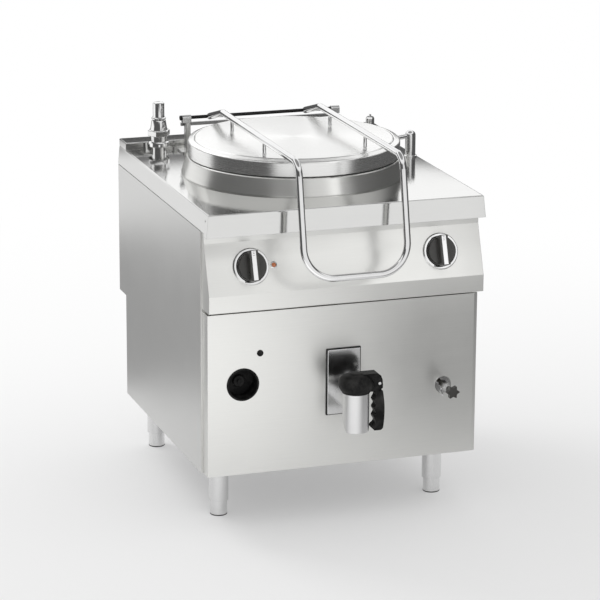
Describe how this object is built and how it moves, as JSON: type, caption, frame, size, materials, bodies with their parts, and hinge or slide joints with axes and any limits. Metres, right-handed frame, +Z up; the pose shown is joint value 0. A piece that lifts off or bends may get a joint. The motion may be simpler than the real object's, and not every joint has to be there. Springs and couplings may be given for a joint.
{
  "type": "boiling pan",
  "caption": "Free-standing boiling pan: round jacketed vessel in a square cabinet on four legs, hinged lid with a tube handle, front drain tap",
  "frame": {"origin": "on the floor under the middle of the overall size, drain tap included", "axes": "+X to the right seen from the front, -Y out of the front, +Z up"},
  "size_m": [0.8, 1.0363, 1.048],
  "materials": {
    "worktop_steel": "satin",
    "pan_steel": "turned satin",
    "lid_steel": "satin",
    "vessel_steel": "satin",
    "inner_steel": "mill",
    "element_steel": "oxidised",
    "frame_steel": "mill",
    "panel_steel": "satin",
    "front_steel": "satin",
    "leg_steel": "satin",
    "foot_steel": "satin",
    "pillar_steel": "satin",
    "bearing_steel": "dark satin",
    "shaft_steel": "dark polished",
    "recess_black": "moulded",
    "handle_chrome": "polished",
    "bright_chrome": "polished",
    "mirror_steel": "mirror polished",
    "satin_chrome": "satin",
    "satin_aluminium": "brushed",
    "fitting_brass": "machined",
    "pipe_copper": "drawn",
    "black_plastic": "moulded",
    "knob_plastic": "moulded",
    "lamp_amber": "clear moulded",
    "gasket_rubber": "moulded",
    "insulation_felt": "felt"
  },
  "bodies": {
    "cabinet": {"worktop": "worktop_steel", "rear_ledge": "worktop_steel", "pan_collar": "pan_steel", "vessel": "vessel_steel", "jacket_shell": "inner_steel", "insulation": "insulation_felt", "jacket_supports": "inner_steel", "heating_elements": "element_steel", "drain_pipe": "inner_steel", "base_frame": "frame_steel", "side_panel_left": "panel_steel", "side_panel_right": "panel_steel", "rear_panel": "panel_steel", "lower_front_panel": "front_steel", "control_panel": "front_steel", "knob_bezels": "bright_chrome", "heat_switch": "black_plastic", "water_valve": "fitting_brass", "lamp_lens": "lamp_amber", "lamp_ring": "bright_chrome", "leg_sleeves": "leg_steel", "hinge_pillar_left": "pillar_steel", "hinge_pillar_right": "pillar_steel", "hinge_bearing_left": "bearing_steel", "hinge_bearing_right": "bearing_steel", "hinge_tie": "frame_steel", "torsion_bar": "shaft_steel", "safety_valve_body": "bright_chrome", "vacuum_valve": "bright_chrome", "fill_column": "bright_chrome", "water_pipes": "pipe_copper", "tap_gasket": "gasket_rubber", "tap_flange": "mirror_steel", "tap_body": "satin_chrome", "recess_cup": "recess_black", "reset_button": "black_plastic", "blanking_plug": "black_plastic", "level_tap_body": "satin_chrome", "terminal_box": "panel_steel", "cable_gland": "black_plastic"},
    "lid": {"lid_shell": "lid_steel", "lid_liner": "vessel_steel", "lid_gasket": "gasket_rubber", "lid_handle_frame": "handle_chrome", "lid_standoffs": "bright_chrome", "hinge_shaft": "shaft_steel"},
    "heat_knob": {"heat_knob": "knob_plastic", "heat_knob_insert": "satin_aluminium"},
    "water_knob": {"water_knob": "knob_plastic", "water_knob_insert": "satin_aluminium"},
    "tap_handle": {"tap_cap": "black_plastic", "tap_plug": "satin_chrome", "tap_pin": "bright_chrome"},
    "tap_grip": {"tap_grip": "black_plastic"},
    "level_tap_knob": {"star_knob": "knob_plastic"},
    "safety_valve_cap": {"safety_valve_cap": "bright_chrome"},
    "foot_front_left": {"foot_front_left": "foot_steel"},
    "foot_front_right": {"foot_front_right": "foot_steel"},
    "foot_rear_left": {"foot_rear_left": "foot_steel"},
    "foot_rear_right": {"foot_rear_right": "foot_steel"}
  },
  "joints": [
    {"name": "lid_hinge", "type": "hinge", "parent": "cabinet", "child": "lid", "pos_m": [-0.01, 0.386, 1], "axis": [-1, 0, 0], "range_deg": [0, 80]},
    {"name": "heat_knob_turn", "type": "hinge", "parent": "cabinet", "child": "heat_knob", "pos_m": [-0.27, -0.36329, 0.747], "axis": [0, -0.943, 0.3328], "range_deg": [-270, 0]},
    {"name": "water_knob_turn", "type": "hinge", "parent": "cabinet", "child": "water_knob", "pos_m": [0.275, -0.36329, 0.747], "axis": [0, -0.943, 0.3328], "range_deg": [-90, 90]},
    {"name": "tap_turn", "type": "hinge", "parent": "cabinet", "child": "tap_handle", "pos_m": [-0.005, -0.47, 0.425], "axis": [0, 0, 1], "range_deg": [-90, 0]},
    {"name": "tap_grip_fold", "type": "hinge", "parent": "tap_handle", "child": "tap_grip", "pos_m": [0.0575, -0.47, 0.425], "axis": [0, -1, 0], "range_deg": [0, 95]},
    {"name": "level_tap_turn", "type": "hinge", "parent": "cabinet", "child": "level_tap_knob", "pos_m": [0.29, -0.444, 0.363], "axis": [0, -1, 0], "range_deg": [0, 720]},
    {"name": "safety_cap_lift", "type": "slide", "parent": "cabinet", "child": "safety_valve_cap", "axis": [0, 0, 1], "range_m": [0, 0.004], "stiffness_N_per_m": 1500, "springref_m": -0.004},
    {"name": "foot_front_left_turn", "type": "hinge", "parent": "cabinet", "child": "foot_front_left", "pos_m": [-0.318, -0.217, 0], "axis": [0, 0, 1], "continuous": true},
    {"name": "foot_front_right_turn", "type": "hinge", "parent": "cabinet", "child": "foot_front_right", "pos_m": [0.318, -0.217, 0], "axis": [0, 0, 1], "continuous": true},
    {"name": "foot_rear_left_turn", "type": "hinge", "parent": "cabinet", "child": "foot_rear_left", "pos_m": [-0.318, 0.414, 0], "axis": [0, 0, 1], "continuous": true},
    {"name": "foot_rear_right_turn", "type": "hinge", "parent": "cabinet", "child": "foot_rear_right", "pos_m": [0.318, 0.414, 0], "axis": [0, 0, 1], "continuous": true}
  ]
}
